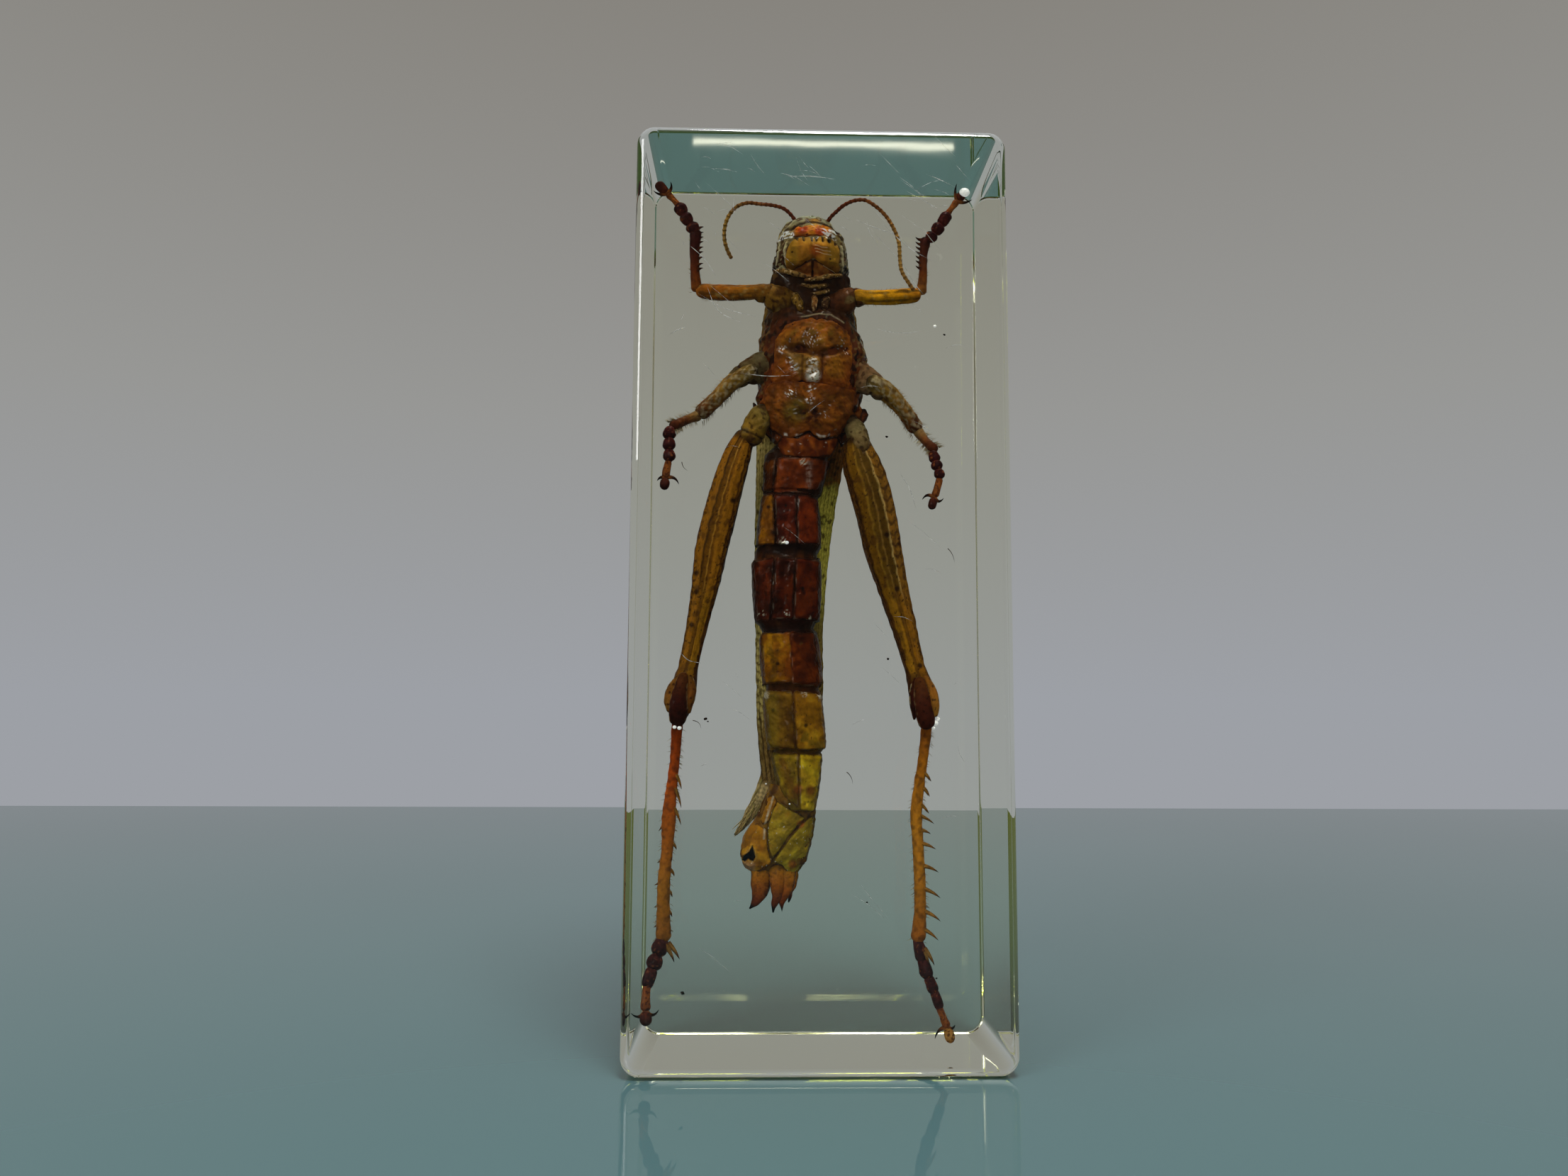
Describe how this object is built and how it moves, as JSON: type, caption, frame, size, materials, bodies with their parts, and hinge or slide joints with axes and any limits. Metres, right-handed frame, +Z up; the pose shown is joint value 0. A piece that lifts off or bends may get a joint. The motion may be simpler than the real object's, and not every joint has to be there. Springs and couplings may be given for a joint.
{
  "type": "insect in resin block",
  "caption": "Clear upright resin block that holds a large spread grasshopper, belly forward, with its long hind legs stretched out.",
  "frame": {"origin": "middle of the base that the block stands on", "axes": "+Z up along the block to the insect's head, +Y from the front face, which shows the belly, to the back face, +X to the right seen from the front"},
  "size_m": [0.0444, 0.026, 0.11],
  "materials": {
    "clear_resin": "polished clear casting resin with a faint yellow-green tint and hair-fine scratches",
    "chitin": "dried insect shell, glossy orange-brown to olive-ochre, near black at the joints and claws"
  },
  "bodies": {
    "root": {"resin_front": "clear_resin", "resin_back": "clear_resin", "grasshopper": "chitin"}
  },
  "joints": []
}
